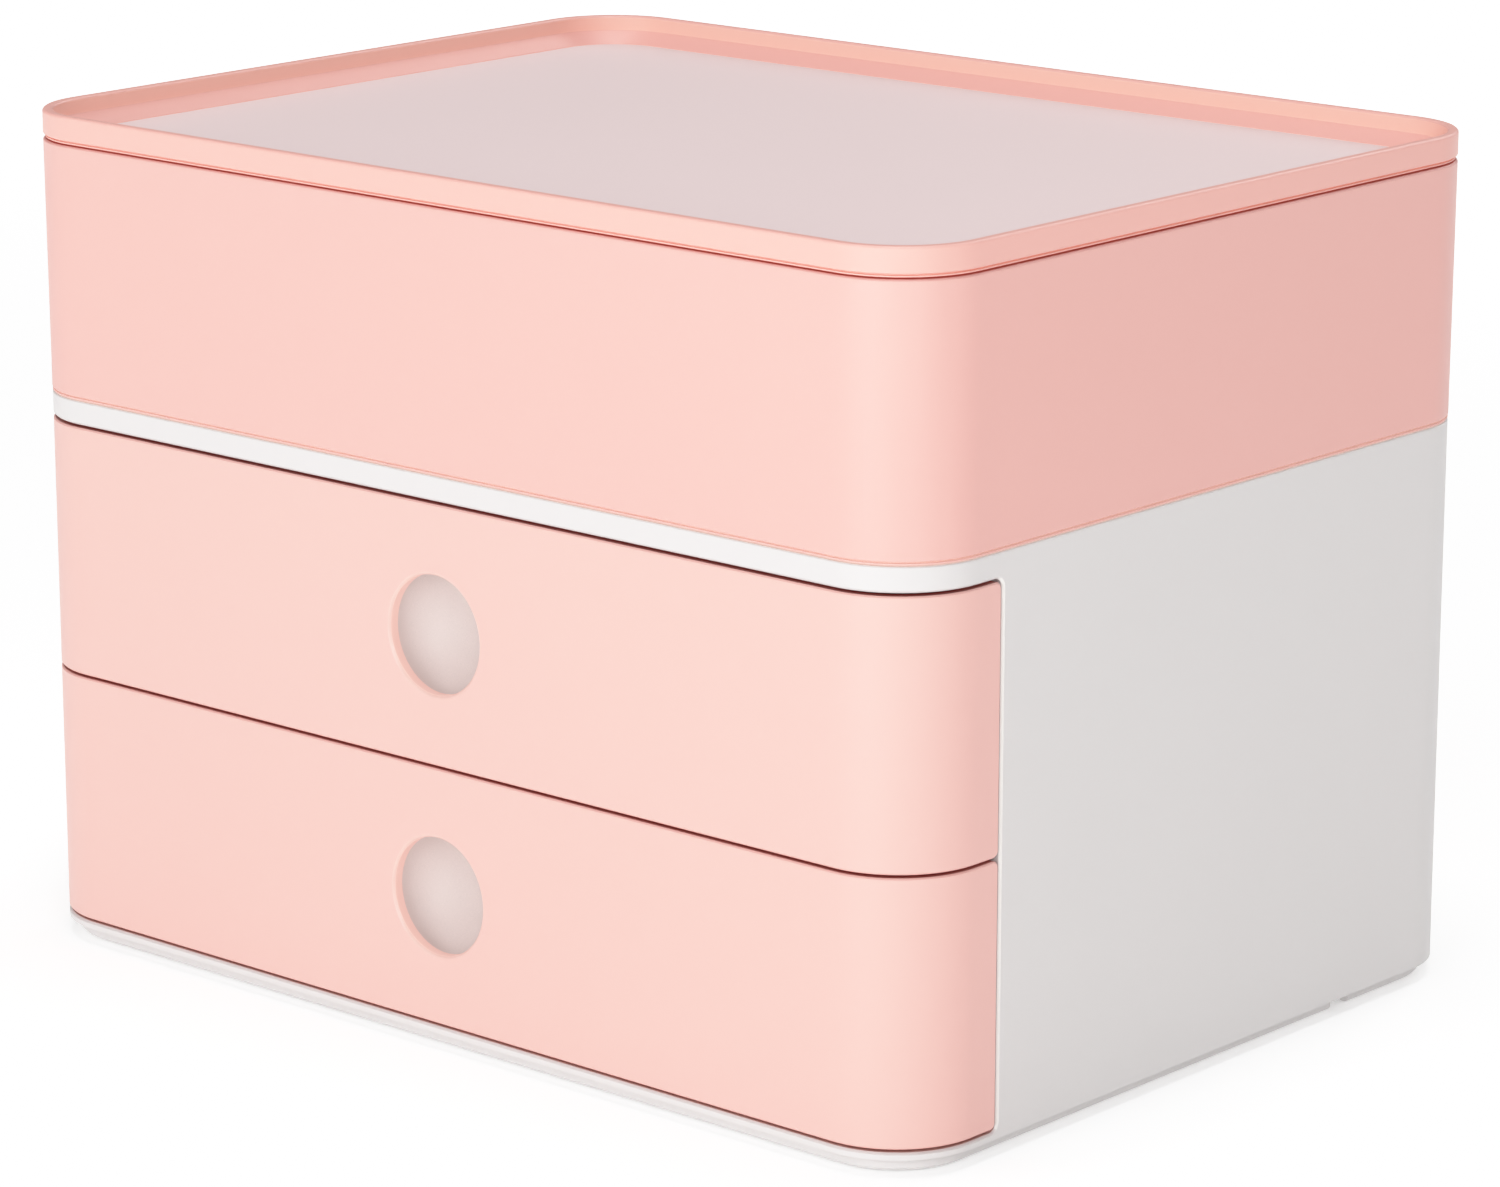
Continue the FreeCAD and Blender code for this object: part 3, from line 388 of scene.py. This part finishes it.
def makeTray(nodeName, body, sizes):
    piece = mouldedShell(nodeName, body)
    low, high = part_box(nodeName.replace("tray", "front"))
    axisHeight = (low[2] + high[2]) / 2
    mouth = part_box(nodeName)[0][1]

    def inCup(middle, facing):
        # by its distance from the axis of the hole in the front
        near = math.hypot(middle.x, middle.z - axisHeight) < sizes["radius"]
        return near and facing.y < sizes["backShare"] and middle.y < mouth + sizes["depth"]

    # painted light in the cup
    paintFaces(piece, "cup", inCup)


for nodeName, body in trayCup["bodies"].items():
    makeTray(nodeName, body, trayCup)

binZones = {
    "rimAbove": 0.178,     # the top edge, in the slot under the lid
    "footBelow": 0.1275,   # what stands in the crown of the housing
}


def makeBin(sizes):
    piece = mouldedShell("utility_box", "bin")

    def onRim(middle, facing):
        return facing.z > upShare and middle.z > sizes["rimAbove"]

    def atFoot(middle, facing):
        return middle.z < sizes["footBelow"]

    # painted shade on the bin's rim, in the slot under the lid
    paintFaces(piece, "binRimPaintedShade", onRim)
    # painted glow at the bin's foot
    paintFaces(piece, "binFootPaintedGlow", atFoot)


makeBin(binZones)

lidZones = {
    "ledgeAbove": 0.1805,  # the sloping foot of the rim, round the panel
    "ledgeShare": 0.3,     # how much that foot looks up, at the least
    "innerAbove": 0.1825,  # the faces of the raised rim that look inwards
    "slotBelow": 0.1855,   # the faces that look down into the slot over the bin
}


def makeLid(sizes):
    piece = mouldedShell("lid_tray", "lid")

    def looksIn(middle, facing):
        return middle.x * facing.x + middle.y * facing.y < 0.0

    def onLedge(middle, facing):
        return looksIn(middle, facing) and facing.z > sizes["ledgeShare"] and (
            sizes["ledgeAbove"] < middle.z < sizes["slotBelow"])

    def insideRim(middle, facing):
        return looksIn(middle, facing) and facing.z < sizes["ledgeShare"] and (
            middle.z > sizes["innerAbove"])

    def overSlot(middle, facing):
        return facing.z < -upShare and middle.z < sizes["slotBelow"]

    # painted shade on the ledge
    paintFaces(piece, "lidLedgePaintedShade", onLedge)
    # painted bounce light on the inner walls of the rim
    paintFaces(piece, "lidInnerPaintedBounce", insideRim)
    # painted shade on the lid's faces that look down into the slot over the bin
    paintFaces(piece, "binRimPaintedShade", overSlot)


makeLid(lidZones)

drawerFronts = {
    "bodies": {"lower_drawer_front": "lower_drawer", "upper_drawer_front": "upper_drawer"},
    "holeRadius": 0.013,
    "holeBevel": 0.0005,
    "holeRound": 0.00028,
    "holeSteps": 4,
    "holeDepth": 0.0025,
    "edgeReach": 1.1,      # bevels from the hole within which its edges are looked for
    "faceReach": 1.2,      # the same for its faces
    "wallShare": 0.8,      # how squarely a wall of the hole looks at its axis
    "lipShare": 0.2,       # the same for the rounded lip
    "leastRadius": 0.001,  # keeps the sum sound for a face that lies on the axis
    "topBand": 0.001,      # how far down from the top a face still belongs to it
}


def makeFront(nodeName, body, sizes):
    low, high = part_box(nodeName)
    axisHeight = (low[2] + high[2]) / 2
    face = low[1]
    edgeReach = sizes["holeBevel"] * sizes["edgeReach"]
    faceReach = sizes["holeBevel"] * sizes["faceReach"]
    mouthRadius = sizes["holeRadius"] + edgeReach
    piece = mergedCopy(nodeName)

    def fromAxis(point):
        return math.hypot(point.x, point.z - axisHeight)

    def atHole(point):
        return point.y < face + edgeReach and fromAxis(point) < mouthRadius

    def notAtHole(point):
        return fromAxis(point) > mouthRadius

    roundEdges(piece, atHole, sizes["holeRound"], sizes["holeSteps"])
    roundEdges(piece, notAtHole, skinSizes["round"], skinSizes["steps"])
    finishSkin(piece, body, nodeName)

    def axisShare(middle, facing):
        # how squarely a face of the hole looks at the hole's axis, or 0 away from the hole
        radius = fromAxis(middle)
        if radius > sizes["holeRadius"] + faceReach or middle.y > face + sizes["holeDepth"]:
            return 0.0
        across = facing.x * middle.x + facing.z * (middle.z - axisHeight)
        return -across / max(radius, sizes["leastRadius"])

    def onWall(middle, facing):
        return axisShare(middle, facing) > sizes["wallShare"]

    def onLip(middle, facing):
        return sizes["lipShare"] < axisShare(middle, facing) <= sizes["wallShare"]

    def onTop(middle, facing):
        return facing.z > upShare and middle.z > high[2] - sizes["topBand"]

    # painted light on the hole's wall
    paintFaces(piece, "holeWallPaintedLight", onWall)
    # painted highlight on the hole's lip
    paintFaces(piece, "holeLipPaintedHighlight", onLip)
    # painted shade on the top faces
    paintFaces(piece, "frontTopPaintedShade", onTop)


for nodeName, body in drawerFronts["bodies"].items():
    makeFront(nodeName, body, drawerFronts)

floorSizes = {
    "width": 30.0,
    "colour": (0.955, 0.955, 0.955, 1.0),
    "roughness": 0.7,
    "specular": 0.0,
    "glowColour": (1.0, 1.0, 1.0, 1.0),
    "glowNear": 0.30,      # light of its own, near the box and further out
    "glowFar": 0.7,
    "nearRange": 0.5,      # how far out that light starts to rise, and where it is full
    "farRange": 1.8,
}


def makeFloor(sizes):
    bpy.ops.object.select_all(action="DESELECT")
    bpy.ops.mesh.primitive_plane_add(size=sizes["width"], location=(0, 0, 0))
    floor = bpy.context.object
    floor.name = "floor"
    material = bpy.data.materials.new("floorPaper")
    material.use_nodes = True
    shader = material.node_tree.nodes["Principled BSDF"]
    shader.inputs["Base Color"].default_value = sizes["colour"]
    shader.inputs["Roughness"].default_value = sizes["roughness"]
    shader.inputs["Specular IOR Level"].default_value = sizes["specular"]
    shader.inputs["Emission Color"].default_value = sizes["glowColour"]
    place = addNode(material, "ShaderNodeTexCoord", (-900, -200))
    reach = addNode(material, "ShaderNodeVectorMath", (-700, -200), operation="LENGTH")
    glow = addNode(material, "ShaderNodeMapRange", (-400, -200), interpolation_type="SMOOTHSTEP")
    glow.inputs["From Min"].default_value = sizes["nearRange"]
    glow.inputs["From Max"].default_value = sizes["farRange"]
    glow.inputs["To Min"].default_value = sizes["glowNear"]
    glow.inputs["To Max"].default_value = sizes["glowFar"]
    wire(material, place, "Object", reach, 0)
    wire(material, reach, "Value", glow, "Value")
    wire(material, glow, "Result", shader, "Emission Strength")
    floor.data.materials.append(material)


makeFloor(floorSizes)

studio = {
    "aim": (0, 0, 0.1),
    "lamps": {
        # place, size across and up, power
        "frontLight": ((0.3, -2.2, 0.45), (1.4, 1.2), 27.4),
        "fillLight": ((-1.4, -2.0, 1.6), (1.4, 1.2), 14.4),
        "sideLight": ((0.9, -0.8, 0.55), (0.5, 0.5), 5.6),
        "topLight": ((0.0, 0.0, 2.5), (1.4, 1.2), 28.6),
        "backLight": ((0.0, 2.2, 1.6), (1.4, 1.2), 20.5),
    },
    "airColour": (1.0, 1.0, 1.0, 1.0),
    "airStrength": 0.24,
}


def addLamp(name, place, aim, size, power):
    bpy.ops.object.select_all(action="DESELECT")
    bpy.ops.object.light_add(type="AREA", location=place)
    lamp = bpy.context.object
    lamp.name = name
    lamp.rotation_euler = (Vector(aim) - Vector(place)).to_track_quat("-Z", "Y").to_euler()
    lamp.data.shape = "RECTANGLE"
    lamp.data.size, lamp.data.size_y = size
    lamp.data.energy = power


def lightStudio(sizes):
    for name, (place, size, power) in sizes["lamps"].items():
        addLamp(name, place, sizes["aim"], size, power)
    world = bpy.data.worlds.new("studioAir")
    world.use_nodes = True
    air = world.node_tree.nodes["Background"]
    air.inputs["Color"].default_value = sizes["airColour"]
    air.inputs["Strength"].default_value = sizes["airStrength"]
    bpy.context.scene.world = world


lightStudio(studio)

viewCamera = {
    "place": (0.78775, -0.89148, 0.38718),
    "turn": 41.8992,       # degrees round Z, from looking along +Y
    "tilt": 14.7902,       # degrees below level
    "roll": -0.1201,
    "sensor": 36.0,
    "lens": 132.659,
    "shift": (0.03268, 0.02596),
    "farthest": 50.0,
}


def addCamera(settings):
    bpy.ops.object.select_all(action="DESELECT")
    bpy.ops.object.camera_add(location=settings["place"])
    camera = bpy.context.object
    camera.name = "viewCamera"
    turned = Matrix.Rotation(math.radians(settings["turn"]), 4, "Z")
    tilted = Matrix.Rotation(math.radians(90 - settings["tilt"]), 4, "X")
    rolled = Matrix.Rotation(math.radians(settings["roll"]), 4, "Z")
    camera.rotation_euler = (turned @ tilted @ rolled).to_euler()
    camera.data.sensor_width = settings["sensor"]
    camera.data.lens = settings["lens"]
    camera.data.shift_x, camera.data.shift_y = settings["shift"]
    camera.data.clip_end = settings["farthest"]
    bpy.context.scene.camera = camera


addCamera(viewCamera)

viewTone = {
    # a soft shoulder for the bright end: scene light and what is shown of it
    "shoulder": [(0.0, 0.0), (0.6, 0.598), (0.7, 0.695), (0.8, 0.784), (0.9, 0.857),
                 (1.0, 0.909), (1.1, 0.948), (1.2, 0.980), (1.3, 1.0), (2.0, 1.0)],
    "curve": 3,            # the one for all colours, after those for red, green and blue
}


def setViewTone(settings):
    view = bpy.context.scene.view_settings
    view.view_transform = "Standard"
    view.use_curve_mapping = True
    first, *between, last = settings["shoulder"]
    brightest = last[0]
    view.curve_mapping.white_level = (brightest, brightest, brightest)
    curve = view.curve_mapping.curves[settings["curve"]]
    curve.points[0].location = (first[0] / brightest, first[1])
    curve.points[1].location = (last[0] / brightest, last[1])
    for light, shown in between:
        curve.points.new(light / brightest, shown)
    for point in curve.points:
        point.handle_type = "VECTOR"
    view.curve_mapping.update()


setViewTone(viewTone)
print("floor, lights and camera set")
